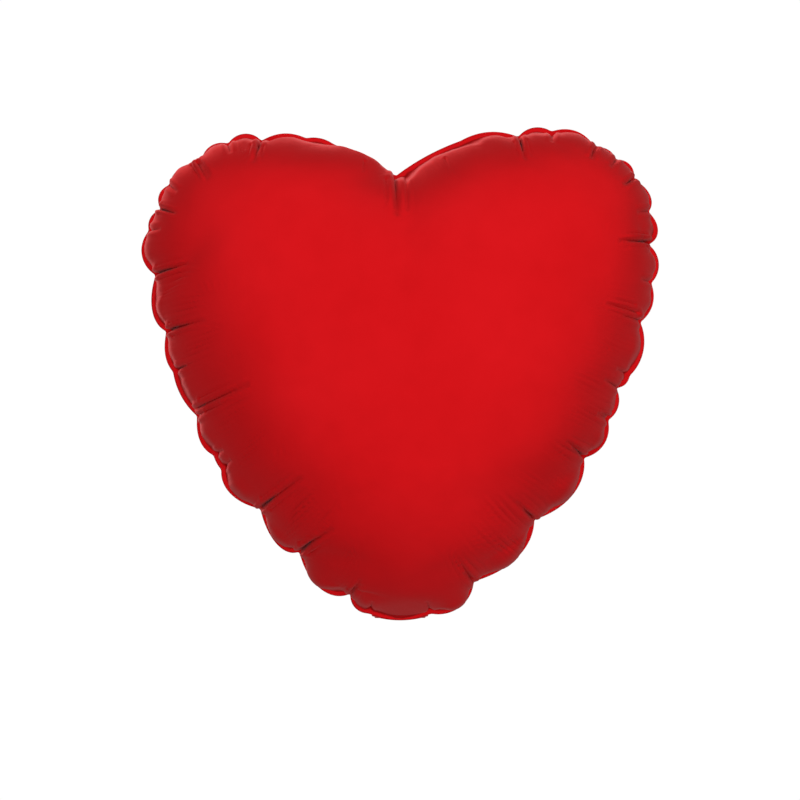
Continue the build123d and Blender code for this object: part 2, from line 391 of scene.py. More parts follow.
def inner_rows(outer, inner):
    """Rows of points that fill the panel inside its flange."""
    reach = np.linalg.norm(outer - CENTRE, axis=1).mean()
    depth = FLANGE
    shift = 0
    rows = []
    while True:
        step = SEAM_STEP + (MIDDLE_STEP - SEAM_STEP) * min(1, depth / FINE_BAND)
        depth += step * math.sqrt(3) / 2
        if depth > LAST_ROW * reach:
            return rows
        line = CENTRE + (outer - CENTRE) * (1 - depth / reach)
        row = spaced(line, max(6, round(steps(closed(line))[-1] / step)), shift / 2)
        rows.append(row[inside(row, inner) & (distance_to(row, inner) > ROW_GAP * step)])
        shift = 1 - shift


def flat_skin():
    """The two flat panels as one mesh, joined along the flange.

    Its points are the seam's outer ring and inner ring, then the front's, then the rear's.
    """
    outer = flat_outline()
    ring = outer + inward(outer) * FLANGE
    kept = inside(ring, outer) & (distance_to(ring, outer) > RING_GAP * FLANGE)
    inner = ring[kept]
    points = np.concatenate([outer, inner, *inner_rows(outer, inner), CENTRE[None]])
    first = len(outer)
    seam = first + len(inner)
    rim = [(first + k, first + (k + 1) % len(inner)) for k in range(len(inner))]
    made = delaunay_2d_cdt([Vector(p) for p in points], rim, [list(range(first))], 1, MESH_PRECISION)
    flat = np.array([v[:] for v in made[0]])
    tris = np.array([f[:] for f in made[2]])
    in_flange = (tris < seam).all(axis=1)
    rear_of = np.arange(len(flat))
    rear_of[seam:] += len(flat) - seam
    places = gather_places(outer)
    return SimpleNamespace(
        flat=flat,
        seam=seam,
        places=places,
        line=gathered_seam(outer, places),
        inner_from=np.flatnonzero(kept),
        depth=np.concatenate([np.zeros(seam), distance_to(flat[seam:], inner)]),
        front_tris=tris,
        in_flange=in_flange,
        rear_of=rear_of,
        tris=np.concatenate([tris, rear_of[tris[~in_flange]][:, ::-1]]),
    )


def first_places(skin):
    """The flat skin's points in space, its panels a little apart and not quite smooth."""
    count = len(skin.flat)
    seam = skin.seam
    start = np.zeros((2 * count - seam, 3))
    start[:count, [0, 2]] = skin.flat
    start[count:, [0, 2]] = skin.flat[seam:]
    bulge = FIRST_GAP + FIRST_BULGE * np.clip(skin.depth[seam:] / FIRST_BULGE_REACH, 0, 1)
    rough = np.random.default_rng(FILM_SEED).normal(0, FIRST_ROUGHNESS, (2, len(bulge)))
    start[seam:count, 1] = rough[0] - bulge
    start[count:, 1] = rough[1] + bulge
    return start


def gathered_places(skin, start):
    """The same points, with the seam's two rings drawn together into lobes."""
    end = start.copy()
    end[:len(skin.line)] = skin.line
    rim = skin.line[skin.inner_from] * [1, INNER_WAVE_SHARE, 1]
    rim[:, [0, 2]] += (inward(skin.line[:, [0, 2]], 2) * FLANGE)[skin.inner_from]
    end[len(skin.line):skin.seam] = rim
    return end


def add_cloth(foil, seam, count):
    """The film's cloth, held at its first points, the seam, and with gas behind the rest."""
    held = foil.vertex_groups.new(name="held")
    held.add(list(range(seam)), 1, "REPLACE")
    filled = foil.vertex_groups.new(name="filled")
    filled.add(list(range(seam, count)), 1, "REPLACE")
    cloth = foil.modifiers.new("cloth", "CLOTH")
    cloth.collision_settings.use_collision = False
    cloth.point_cache.frame_start = 1
    cloth.point_cache.frame_end = SIM_FRAMES
    rule = cloth.settings
    rule.quality = SIM_QUALITY
    rule.mass = FILM_MASS
    rule.tension_stiffness = TENSION
    rule.compression_stiffness = COMPRESSION
    rule.shear_stiffness = SHEAR
    rule.bending_stiffness = BENDING
    rule.use_pressure = True
    rule.uniform_pressure_force = PRESSURE
    rule.vertex_group_pressure = filled.name
    rule.vertex_group_mass = held.name
    rule.effector_weights.gravity = 0


def blow_up(skin):
    """Gathers the seam and blows the skin up, and returns every point's place."""
    start = first_places(skin)
    mesh = bpy.data.meshes.new("blowing_up")
    mesh.from_pydata(start.tolist(), [], skin.tris.tolist())
    foil = bpy.data.objects.new("blowing_up", mesh)
    scene = bpy.context.scene
    scene.collection.objects.link(foil)
    foil.shape_key_add(name="flat")
    gathered = foil.shape_key_add(name="gathered")
    gathered.data.foreach_set("co", gathered_places(skin, start).ravel())
    for value, at in ((0, 1), (1, 1 + GATHER_FRAMES)):
        gathered.value = value
        gathered.keyframe_insert("value", frame=at)
    add_cloth(foil, skin.seam, len(start))
    scene.frame_start = 1
    scene.frame_end = SIM_FRAMES
    for at in range(1, SIM_FRAMES + 1):
        scene.frame_set(at)
    blown = foil.evaluated_get(bpy.context.evaluated_depsgraph_get())
    places = np.zeros(len(start) * 3)
    blown.data.vertices.foreach_get("co", places)
    bpy.data.objects.remove(foil)
    scene.frame_set(1)
    return places.reshape(-1, 3)


def edges_of(tris):
    """Every edge once, which of them each triangle side is, and how many triangles share it."""
    sides = np.sort(tris[:, [0, 1, 1, 2, 2, 0]].reshape(-1, 2), axis=1)
    return np.unique(sides, axis=0, return_inverse=True, return_counts=True)


def smooth_subdivide(points, tris):
    """One Loop subdivision step, on any columns, with Loop's own weights."""
    edges, which, shared_by = edges_of(tris)
    which = which.reshape(-1)
    sharp = shared_by == 1
    facing = np.zeros((len(edges), points.shape[1]))
    np.add.at(facing, which, points[tris[:, [2, 0, 1]].reshape(-1)])
    middle = points[edges].mean(axis=1)
    new = np.where(sharp[:, None], middle, 0.75 * middle + 0.125 * facing)
    around, count = np.zeros_like(points), np.zeros(len(points))
    along, sharp_count = np.zeros_like(points), np.zeros(len(points))
    for a, b in ((0, 1), (1, 0)):
        np.add.at(around, edges[:, a], points[edges[:, b]])
        np.add.at(count, edges[:, a], 1)
        np.add.at(along, edges[sharp, a], points[edges[sharp, b]])
        np.add.at(sharp_count, edges[sharp, a], 1)
    kept = 0.625 * points + 0.375 * around / count[:, None]
    creased = sharp_count >= 2
    kept[creased] = 0.75 * points[creased] + 0.25 * (along / np.maximum(sharp_count, 1)[:, None])[creased]
    m = which.reshape(-1, 3) + len(points)
    finer = np.concatenate([
        np.stack([tris[:, 0], m[:, 0], m[:, 2]], 1), np.stack([m[:, 0], tris[:, 1], m[:, 1]], 1),
        np.stack([m[:, 2], m[:, 1], tris[:, 2]], 1), m,
    ])
    return np.concatenate([kept, new]), finer


def normals_of(points, tris):
    """The film's unit normal at each point."""
    a, b, c = (points[tris[:, k]] for k in range(3))
    face = np.cross(b - a, c - a)
    total = np.zeros_like(points)
    for k in range(3):
        np.add.at(total, tris[:, k], face)
    return total / np.maximum(np.linalg.norm(total, axis=1), LEAST_LENGTH)[:, None]


def calm(points, tris, movable):
    """Irons small bumps out of the movable points and keeps the large shape."""
    edges = edges_of(tris)[0]
    for share in (CALM_OUT, CALM_BACK) * CALM_ROUNDS:
        around, count = np.zeros_like(points), np.zeros(len(points))
        for a, b in ((0, 1), (1, 0)):
            np.add.at(around, edges[:, a], points[edges[:, b]])
            np.add.at(count, edges[:, a], 1)
        points = points + (share * movable)[:, None] * (around / count[:, None] - points)
    return points


def even_dome(points, tris, seam):
    """The height of an evenly blown-up film over each point: a membrane's, filled out towards its edge."""
    flat = points[:, [0, 2]]
    a, b, c = (flat[tris[:, k]] for k in range(3))
    area = np.abs(np.cross(b - a, c - a)) / 2
    stiff = np.zeros((len(flat), len(flat)))
    load = np.zeros(len(flat))
    for i, j, k in ((0, 1, 2), (1, 2, 0), (2, 0, 1)):
        away = flat[tris[:, i]] - flat[tris[:, k]]
        other = flat[tris[:, j]] - flat[tris[:, k]]
        pull = (away * other).sum(axis=1) / (4 * np.maximum(area, LEAST_AREA))
        for m, n in ((i, j), (j, i)):
            np.add.at(stiff, (tris[:, m], tris[:, n]), -pull)
            np.add.at(stiff, (tris[:, m], tris[:, m]), pull)
        np.add.at(load, tris[:, i], area / 3)
    height = np.zeros(len(flat))
    height[seam:] = np.linalg.solve(stiff[seam:, seam:], load[seam:])
    return DOME_HEIGHT * (np.clip(height, 0, None) / height.max()) ** DOME_FULLNESS


def seam_fields(skin):
    """For each point of the seam's edge: how far along the seam it is, and how far its lobe puffs."""
    count = len(skin.line)
    puff = np.zeros(count)
    for k, row in enumerate(GATHERS):
        after = (k + 1) % len(GATHERS)
        length = (skin.places[after] - skin.places[k]) % count
        share = np.arange(length) / length
        chord = np.linalg.norm(GATHERS[after, :2] - row[:2])
        tall = (PUFF + PUFF_OF_RISE * row[RISE]) * min(1.0, chord / PUFF_SPAN)
        tall *= PUFF_LOW + (PUFF_HIGH - PUFF_LOW) * row[1] / HEART_HEIGHT
        puff[(skin.places[k] + np.arange(length)) % count] = tall * np.sin(np.pi * share) ** 2
    return steps(closed(skin.line[:, [0, 2]])), puff


def beside_seam(points, depth, skin):
    """How far along the seam each point is, how far it is puffed by its lobe, and the seam's length."""
    along, puff = seam_fields(skin)
    seam, whole = skin.line[:, [0, 2]], along[-1]
    at, rise = np.zeros(len(points)), np.zeros(len(points))
    for part in np.array_split(np.arange(len(points)), max(1, len(points) // BATCH)):
        gap = ((points[part, None][:, :, [0, 2]] - seam[None]) ** 2).sum(axis=2)
        nearest = gap.argmin(axis=1)
        spread = BLUR + BLUR_GROWTH * depth[part]
        weight = np.exp(-(gap - gap.min(axis=1)[:, None]) / (2 * spread[:, None] ** 2))
        weight /= weight.sum(axis=1)[:, None]
        ahead = (along[None, :-1] - along[nearest][:, None] + whole / 2) % whole - whole / 2
        at[part] = along[nearest] + (weight * ahead).sum(axis=1)
        rise[part] = (weight * puff[None]).sum(axis=1)
    return at, rise, whole


def notches():
    """A short fold straight in from each gather."""
    rows = []
    for row, way in zip(GATHERS, inward(GATHERS[:, :2])):
        if row[FOLD] == 0:
            continue
        start = row[:2] + way * FLANGE / 2
        stop = row[:2] + way * (FLANGE + NOTCH_REACH + row[FOLD] * NOTCH_SHARE)
        rows.append([*start, *stop, NOTCH_DEPTH, NOTCH_WIDTH])
    return rows


def front_folds():
    """The front panel's folds, the deeper ones with a fainter fold on each side."""
    rows = notches()
    for x0, z0, x1, z1, deep, wide in FRONT_FOLDS:
        rows.append([x0, z0, x1, z1, deep, wide])
        if deep < DEEP_FOLD:
            continue
        start, run = np.array([x0, z0]), np.array([x1 - x0, z1 - z0])
        across = np.array([-run[1], run[0]]) / np.linalg.norm(run)
        for side, reach in BESIDE_FOLD:
            beside = start + run * BESIDE_START + across * side * BESIDE_OFF * wide
            rows.append([*beside, *(beside + run * reach), BESIDE_DEPTH * deep, BESIDE_WIDTH * wide])
    return np.array(rows)


def rear_folds():
    """The folds of the rear panel, in from the gathers, no two alike."""
    draw = np.random.default_rng(REAR_FOLD_SEED)
    size = draw.uniform(*REAR_FOLD_SIZES, len(GATHERS))
    lean = draw.normal(0, REAR_FOLD_LEAN, len(GATHERS))
    rows = notches()
    for row, way, gain, tilt in zip(GATHERS, inward(GATHERS[:, :2]), size, lean):
        if row[FOLD] < FLANGE:
            continue
        way = way + tilt * np.array([-way[1], way[0]])
        start = row[:2] + way * FLANGE / 2
        stop = row[:2] + way * (FLANGE + row[FOLD] * REAR_FOLD_GAIN * gain)
        share = min(1.0, row[FOLD] / FULL_FOLD)
        rows.append([*start, *stop, FOLD_DEPTH * (SHALLOWEST + (1 - SHALLOWEST) * share), FOLD_WIDTH])
    return np.array(rows)


def fold_in(points, normals, depth, folds):
    """Presses the folds into a panel, and returns how deep in a fold each point is, 0 to 1, for the painted
    shade in the folds.
    """
    flat = points[:, [0, 2]]
    drop = np.zeros(len(points))
    for x0, z0, x1, z1, deep, wide in folds:
        start, run = np.array([x0, z0]), np.array([x1 - x0, z1 - z0])
        length = np.linalg.norm(run)
        run /= length
        half = wide * FOLD_TIGHTNESS
        along = (flat - start) @ run / length
        off = np.abs((flat - start) @ np.array([-run[1], run[0]])) / half
        off = np.hypot(off, np.clip(-along, 0, None) * length / half)
        fade = (1 - np.clip(along, 0, 1)) ** FOLD_SHARPNESS
        lip = FOLD_LIP * np.exp(-(((off - FOLD_LIP_AT) / FOLD_LIP_WIDTH) ** 2))
        drop += deep * fade * (np.clip(1 - off, 0, 1) ** FOLD_ROUNDNESS - lip)
    drop *= np.clip(depth / FOLD_RAMP, 0, 1)
    points -= normals * drop[:, None]
    return np.clip(drop / FOLD_DEPTH, 0, 1)


def comb(points, normals, depth, at, seed):
    """Adds the fine wrinkles, square to the seam, and returns how deep in one each point is, 0 to 1, for the
    painted shade in the wrinkles.
    """
    draw = np.random.default_rng(seed)
    flat = points[:, [0, 2]]
    deep = np.zeros(len(flat))
    for x, z, wide, tall in WRINKLED:
        deep = np.maximum(deep, tall * np.exp(-(((flat - [x, z]) ** 2).sum(axis=1) / wide ** 2)))
    turn = 2 * np.pi * at / WRINKLE_PITCH
    turn += sum(swing * np.sin(turn / length + draw.uniform(0, 6)) for swing, length in PITCH_DRIFT)
    size = SIZE_MEAN + SIZE_SWING * np.sin(turn / SIZE_LENGTH + depth / SIZE_DEPTH + draw.uniform(0, 6))
    ripple = np.where(np.sin(turn) < 0, np.sin(turn), WRINKLE_RIDGE * np.sin(turn)) * size
    slow = np.sin(2 * np.pi * at / WAVE_PITCH + draw.uniform(0, 6)) * np.exp(-depth / WAVE_REACH)
    fade = ease(depth, 0, WRINKLE_RAMP)
    points += normals * ((deep + WRINKLE_FLOOR) * ripple * fade + WAVE_HEIGHT * slow * fade)[:, None]
    return np.clip(-ripple * deep * fade / WRINKLE_DEEPEST, 0, 1)


def make_room_for_neck(points):
    """Presses the film in where the folded neck lies along it."""
    away, height = np.abs(points[:, 1]), points[:, 2]
    clear = height * math.sin(NECK_ANGLE) + away * math.cos(NECK_ANGLE)
    lift = np.interp(points[:, 0], *LIFT_LINE.T, right=0, left=0) * (1 - ease(away, 0, LIFT_RUN))
    needed = (NECK_ROOM + lift) * ease(away, NECK_ROOM_FROM, NECK_ROOM_TO)
    short = needed - clear
    push = (short + np.hypot(short, NECK_PRESS_BLEND)) / 2 * ease(away, 0, NECK_PRESS_RAMP)
    push *= 1 - ease(np.abs(points[:, 0]), NECK_PRESS_FROM, NECK_PRESS_TO)
    points[:, 1] += np.sign(points[:, 1]) * push * math.cos(NECK_ANGLE)
    points[:, 2] += push * math.sin(NECK_ANGLE)


def mesh_object(name, points, faces, **marks):
    """A smooth-shaded mesh object with a float attribute for each mark."""
    mesh = bpy.data.meshes.new(name)
    mesh.from_pydata(np.asarray(points).tolist(), [], [list(map(int, f)) for f in faces])
    for mark, values in marks.items():
        mesh.attributes.new(mark, "FLOAT", "POINT").data.foreach_set("value", np.asarray(values, float))
    mesh.polygons.foreach_set("use_smooth", np.ones(len(mesh.polygons), bool))
    piece = bpy.data.objects.new(name, mesh)
    bpy.context.scene.collection.objects.link(piece)
    return piece


def rim_loop(tris):
    """The outer boundary of a triangle patch, as directed edges."""
    sides = tris[:, [0, 1, 1, 2, 2, 0]].reshape(-1, 2)
    known = {(a, b) for a, b in sides.tolist()}
    return np.array([(a, b) for a, b in known if (b, a) not in known])


def closed_faces(tris, count):
    """The faces of a closed film whose outer face is a patch of count points, followed by its inner one."""
    rim = rim_loop(tris)
    sides = np.concatenate([
        np.stack([rim[:, 0], rim[:, 0] + count, rim[:, 1]], 1),
        np.stack([rim[:, 1], rim[:, 0] + count, rim[:, 1] + count], 1),
    ])
    return np.concatenate([tris, tris[:, ::-1] + count, sides])


def shell(points, tris, normals, inner, outer):
    """A closed film from a patch: its two faces lie inner and outer along the normals."""
    both = np.concatenate([points + normals * outer, points + normals * inner])
    return both, closed_faces(tris, len(points))


def settled(points, tris, skin, side):
    """A panel's simulated points, ironed and settled towards an even dome."""
    movable = EDGE_CALM + (1 - EDGE_CALM) * ease(skin.depth, CALM_FROM, CALM_TO)
    movable[:skin.seam] = 0
    points = calm(points, tris, movable)
    share = DOME_SHARE * ease(skin.depth, DOME_FROM, DOME_TO)
    dome = even_dome(points, tris, skin.seam) * side
    points[:, 1] += share * (dome - points[:, 1])
    return points


def make_panel(name, skin, blown, folds, side, seed):
    """One foil panel, with its flange, puffed lobes, folds and wrinkles. Side is -1 in front, 1 behind."""
    index = skin.rear_of if side > 0 else np.arange(len(skin.flat))
    tris = skin.front_tris[:, ::-1] if side > 0 else skin.front_tris
    points = settled(blown[index], tris, skin, side)
    at, rise, whole = beside_seam(points, skin.depth, skin)
    level = skin.depth / PUFF_PEAK
    rise *= level * np.exp(1 - level)
    points += normals_of(points, tris) * rise[:, None]
    turn = 2 * np.pi * at / whole
    columns = np.column_stack([points, skin.depth, np.cos(turn), np.sin(turn)])
    for _ in range(SUBDIVISIONS):
        columns, tris = smooth_subdivide(columns, tris)
    points, depth = columns[:, :3].copy(), np.clip(columns[:, 3], 0, None)
    at = np.arctan2(columns[:, 5], columns[:, 4]) / (2 * np.pi) * whole
    combed = comb(points, normals_of(points, tris), depth, at, seed)
    folded = fold_in(points, normals_of(points, tris), depth, folds)
    # Painted shade: how much the film's colour is darkened in the folds and wrinkles, on top of their real
    # dents.
    pinched = np.maximum(WRINKLE_PAINTED_SHADE * combed, folded)
    make_room_for_neck(points)
    both, faces = shell(points, tris, normals_of(points, tris), WELD_HALF, WELD_HALF + FOIL)
    # Painted shade: where the film's colour is darkened along the groove as it rolls up off the weld.
    rolled = ease(depth, *ROLL_SHADE_FROM) * (1 - ease(depth, *ROLL_SHADE_TO))
    return mesh_object(name, both, faces, rolled=np.tile(rolled, 2), pinched=np.tile(pinched, 2))


def make_seam_band(skin, blown):
    """The weld between the two flanges."""
    points, tris = blown[:skin.seam], skin.front_tris[skin.in_flange]
    for _ in range(SUBDIVISIONS):
        points, tris = smooth_subdivide(points, tris)
    both, faces = shell(points, tris, normals_of(points, tris), -WELD_HALF, WELD_HALF)
    return mesh_object("seam_band", both, faces)


def neck_waves(x, drop):
    """How far the neck's film stands off its flat plane."""
    along = max(0.0, drop / NECK_LENGTH)
    off = CURL * math.sin(CURL_TURN * along + CURL_START) * along ** CURL_GROWTH
    off += CUP * math.cos(math.pi * x / NECK_ROOT_HALF) * along
    off += RIPPLE * math.sin(x / RIPPLE_ACROSS + drop / RIPPLE_DOWN) * min(1.0, RIPPLE_GROWTH * along)
    return off


def on_neck(x, drop, out):
    """The place of a point of the folded neck: drop below the fold, out from its middle layer."""
    turn = NECK_ANGLE * min(1.0, max(0.0, (drop + FOLD_REACH) / (2 * FOLD_REACH)))
    down = np.array([0, math.sin(turn), -math.cos(turn)])
    front = np.array([0, -math.cos(turn), -math.sin(turn)])
    if turn <= 0 or turn >= NECK_ANGLE:
        place = down * drop
    else:
        place = np.array([0, FOLD_RADIUS, FOLD_REACH]) + front * FOLD_RADIUS
    lift = float(np.interp(x, *LIFT_LINE.T) * (1 - ease(drop, 0, LIFT_RUN)))
    return place + front * (out + neck_waves(x, drop)) + np.array([x, 0, lift])


def neck_half(drop):
    """Half the neck's width at this drop, with its taper and its round corners."""
    half = NECK_ROOT_HALF + (NECK_HALF - NECK_ROOT_HALF) * ease(drop, 0, NECK_TAPER)
    into_corner = drop - (NECK_LENGTH - NECK_CORNER)
    if into_corner > 0:
        half -= NECK_CORNER - math.sqrt(max(0.0, NECK_CORNER ** 2 - into_corner ** 2))
    return half


def neck_edge(sign, inset=0.0):
    """One side of the neck, as x for each drop, drawn in by inset."""
    return lambda drop: sign * (neck_half(drop) - inset)


def valve_edge(sign):
    """One side of the valve, as x for each drop."""
    return lambda drop: sign * VALVE_HALF


def neck_patch(left, right, top, bottom):
    """A flat patch of triangles, as x and drop, between two sides that are functions of the drop."""
    shares = np.append(np.arange(0, 1, NECK_STEP / (bottom - top)), 1.0)
    third = NECK_LENGTH / 3
    columns = max(3, round((right(third) - left(third)) / NECK_STEP))
    rows = []
    for drop in top + shares * (bottom - top):
        a, b = left(drop), right(drop)
        rows.append([(a + (b - a) * k / columns, drop) for k in range(columns + 1)])
    flat = np.array(rows)
    grid = np.arange(flat.shape[0] * flat.shape[1]).reshape(flat.shape[:2])
    quads = np.stack([grid[:-1, :-1], grid[:-1, 1:], grid[1:, 1:], grid[1:, :-1]], -1).reshape(-1, 4)
    return flat.reshape(-1, 2), np.concatenate([quads[:, [0, 2, 1]], quads[:, [0, 3, 2]]])


def signed_areas(points, tris):
    """Twice the signed area of each flat triangle."""
    a, b, c = (points[tris[:, k]] for k in range(3))
    return (b[:, 0] - a[:, 0]) * (c[:, 1] - a[:, 1]) - (b[:, 1] - a[:, 1]) * (c[:, 0] - a[:, 0])


def cut_hole(flat, tris):
    """Re-meshes a flat patch with the inflation hole in it."""
    centre = np.array([0, HOLE_DROP])
    rim = rim_loop(tris)
    after = dict(rim.tolist())
    loop = [int(rim[0, 0])]
    while after[loop[-1]] != loop[0]:
        loop.append(after[loop[-1]])
    far = np.linalg.norm(flat - centre, axis=1) > HOLE_RADIUS * HOLE_GAP
    far[loop] = False
    ring = centre + HOLE_RADIUS * np.array([toward(360 * k / HOLE_SIDES) for k in range(HOLE_SIDES)])
    points = np.concatenate([flat[loop], ring, flat[far]])
    edge = [(k, (k + 1) % len(loop)) for k in range(len(loop))]
    edge += [(len(loop) + k, len(loop) + (k + 1) % HOLE_SIDES) for k in range(HOLE_SIDES)]
    made = delaunay_2d_cdt([Vector(p) for p in points], edge, [], 0, MESH_PRECISION)
    spots = np.array([v[:] for v in made[0]])
    new = np.array([f[:] for f in made[2]])
    middle = spots[new].mean(axis=1)
    off_hole = np.linalg.norm(middle - centre, axis=1) > HOLE_RADIUS * HOLE_EDGE
    new = new[off_hole & inside(middle, flat[loop])]
    backwards = signed_areas(spots, new) < 0
    new[backwards] = new[backwards][:, ::-1]
    return (spots, new) if signed_areas(flat, tris[:1])[0] > 0 else (spots, new[:, ::-1])


def neck_sheet(name, inner, outer, left, right, top, bottom, has_hole=False):
    """A closed sheet of the neck, from inner to outer off its middle layer."""
    flat, tris = neck_patch(left, right, top, bottom)
    if has_hole:
        flat, tris = cut_hole(flat, tris)
    front = np.array([on_neck(x, drop, outer) for x, drop in flat])
    back = np.array([on_neck(x, drop, inner) for x, drop in flat])
    return mesh_object(name, np.concatenate([front, back]), closed_faces(tris, len(flat)))


def make_neck_foils():
    """The neck's front and rear foils."""
    sides = neck_edge(-1), neck_edge(1)
    weld = WELD_HALF
    return [
        neck_sheet("neck_front_foil", weld, weld + FOIL, *sides, NECK_START, NECK_LENGTH, has_hole=True),
        neck_sheet("neck_rear_foil", -weld - FOIL, -weld, *sides, NECK_START, NECK_LENGTH),
    ]


def make_neck_bands():
    """The welds down the neck's two sides and across its end."""
    layer = -WELD_HALF, WELD_HALF
    left, right = neck_edge(-1), neck_edge(1)
    end_top = NECK_LENGTH - NECK_END_WELD
    return [
        neck_sheet("neck_left_band", *layer, left, neck_edge(-1, NECK_WELD), BAND_START, end_top),
        neck_sheet("neck_right_band", *layer, neck_edge(1, NECK_WELD), right, BAND_START, end_top),
        neck_sheet("neck_end_band", *layer, left, right, end_top, NECK_LENGTH),
    ]


def make_neck_valve():
    """The valve's two films inside the neck."""
    sides = valve_edge(-1), valve_edge(1)
    gap, face = VALVE_GAP_HALF, WELD_HALF - VALVE_CLEARANCE
    return [
        neck_sheet("neck_valve_front", gap, face, *sides, BAND_START, VALVE_END, has_hole=True),
        neck_sheet("neck_valve_rear", -face, -gap, *sides, BAND_START, VALVE_END),
    ]


class Paint:
    """A material and the nodes that feed its shader."""

    def __init__(self, name, colour, roughness, metallic=0.0):
        self.material = bpy.data.materials.new(name)
        self.material.use_nodes = True
        self.nodes = self.material.node_tree.nodes
        self.links = self.material.node_tree.links
        self.shader = self.nodes["Principled BSDF"]
        self.set("Base Color", (*colour, 1))
        self.set("Roughness", roughness)
        self.set("Metallic", metallic)
        self.where = self.nodes.new("ShaderNodeTexCoord").outputs["Object"]

    def set(self, socket, value):
        """Gives the shader a plain value."""
        self.shader.inputs[socket].default_value = value

    def feed(self, socket, value):
        """Gives the shader a value that varies, from a node."""
        self.links.new(value, self.shader.inputs[socket])

    def noise(self, scale, detail=3.0, roughness=0.5, where=None):
        made = self.nodes.new("ShaderNodeTexNoise")
        made.inputs["Scale"].default_value = scale
        made.inputs["Detail"].default_value = detail
        made.inputs["Roughness"].default_value = roughness
        self.links.new(where or self.where, made.inputs["Vector"])
        return made.outputs["Fac"]

    def mapped(self, value, low, high, from_low=0.0, from_high=1.0):
        """The value, brought from its own range to another."""
        made = self.nodes.new("ShaderNodeMapRange")
        made.inputs["From Min"].default_value = from_low
        made.inputs["From Max"].default_value = from_high
        made.inputs["To Min"].default_value = low
        made.inputs["To Max"].default_value = high
        self.links.new(value, made.inputs["Value"])
        return made.outputs["Result"]

    def blended(self, factor, first, second):
        """A mix of two colours, each a tuple or a socket."""
        made = self.nodes.new("ShaderNodeMix")
        made.data_type = "RGBA"
        self.links.new(factor, made.inputs["Factor"])
        for socket, colour in ((made.inputs[6], first), (made.inputs[7], second)):
            if isinstance(colour, tuple):
                socket.default_value = (*colour, 1)
            else:
                self.links.new(colour, socket)
        return made.outputs[2]

    def bumped(self, height, distance, strength, under=None):
        """The normal over a height, on top of the normal under it."""
        made = self.nodes.new("ShaderNodeBump")
        made.inputs["Distance"].default_value = distance
        made.inputs["Strength"].default_value = strength
        self.links.new(height, made.inputs["Height"])
        if under is not None:
            self.links.new(under, made.inputs["Normal"])
        return made.outputs["Normal"]

    def mark(self, name):
        """A value that the mesh carries at each point."""
        made = self.nodes.new("ShaderNodeAttribute")
        made.attribute_name = name
        return made.outputs["Fac"]


def foil_material():
    """Red metallised film with a satin face, its colour darkened by painted shade in its tight folds and
    wrinkles and where it rolls off the weld.
    """
    foil = Paint("red_foil", FOIL_RED, roughness=0.45, metallic=0.6)
    foil.set("Specular IOR Level", 0.08)
    foil.set("Specular Tint", (*FOIL_GLINT, 1))
    foil.set("Sheen Roughness", 0.5)
    # Painted shade along the roll off the weld: the sheen is turned down there, and below the red is
    # darkened.
    rolled = foil.mark("rolled")
    foil.feed("Sheen Weight", foil.mapped(rolled, 0.1, 0.02))
    cloud = foil.mapped(foil.noise(scale=11), 0, 1, 0.3, 0.7)
    colour = foil.blended(cloud, FOIL_RED, FOIL_RED_PALE)
    # Painted shade: the red is blended towards a shaded copy of itself in the folds and wrinkles, then along
    # the roll off the weld.
    fold = foil.mapped(foil.mark("pinched"), 0, 0.65, 0.15, 0.9)
    colour = foil.blended(fold, colour, FOIL_RED_PAINTED_SHADE)
    colour = foil.blended(foil.mapped(rolled, 0, 0.4), colour, FOIL_RED_PAINTED_SHADE)
    foil.feed("Base Color", colour)
    streak = foil.noise(scale=60, detail=4, roughness=0.6)
    foil.feed("Roughness", foil.mapped(streak, 0.42, 0.52, 0.3, 0.7))
    crinkle = foil.bumped(foil.noise(scale=130), distance=0.25 * MM, strength=0.5)
    grain = foil.bumped(foil.noise(scale=1400, detail=2), distance=0.02 * MM, strength=0.6, under=crinkle)
    foil.feed("Normal", grain)
    return foil.material


def weld_material():
    """The heat-sealed edge between the films: the same red, cloudy and duller."""
    weld = Paint("sealed_edge", FOIL_RED_PAINTED_SHADE, roughness=0.5, metallic=0.2)
    cloud = weld.mapped(weld.noise(scale=240), 0, 1, 0.3, 0.7)
    weld.feed("Base Color", weld.blended(cloud, WELD_RED, WELD_RED_PALE))
    ribs = weld.bumped(weld.noise(scale=900, detail=2), distance=0.05 * MM, strength=0.6)
    weld.feed("Normal", ribs)
    return weld.material


def valve_film_material():
    """Milky clear film, slightly drawn lengthwise."""
    film = Paint("milky_film", MILKY, roughness=0.3)
    film.set("Transmission Weight", 0.55)
    film.set("IOR", 1.5)
    drawn = film.nodes.new("ShaderNodeMapping")
    drawn.inputs["Scale"].default_value = (1, 0.2, 0.2)
    film.links.new(film.where, drawn.inputs["Vector"])
    lines = film.noise(scale=700, where=drawn.outputs["Vector"])
    film.feed("Roughness", film.mapped(lines, 0.24, 0.42, 0.3, 0.7))
    film.feed("Normal", film.bumped(lines, distance=0.04 * MM, strength=0.5))
    return film.material


def coat_material():
    """The chalky coat that keeps the valve from sealing shut."""
    coat = Paint("release_coat", CHALK, roughness=0.85)
    speckle = coat.mapped(coat.noise(scale=1600, detail=4), 0, 1, 0.35, 0.65)
    coat.feed("Base Color", coat.blended(speckle, CHALK_DARK, CHALK_PALE))
    coat.feed("Normal", coat.bumped(speckle, distance=0.03 * MM, strength=0.7))
    return coat.material


def backdrop_material():
    """Pale paper that looks evenly lit from every side."""
    paper = Paint("pale_paper", PAPER, roughness=0.9)
    glow = paper.nodes.new("ShaderNodeEmission")
    paper.links.new(paper.mapped(paper.noise(scale=3), 1.0, 1.03), glow.inputs["Strength"])
    paper.links.new(glow.outputs["Emission"], paper.nodes["Material Output"].inputs["Surface"])
    return paper.material


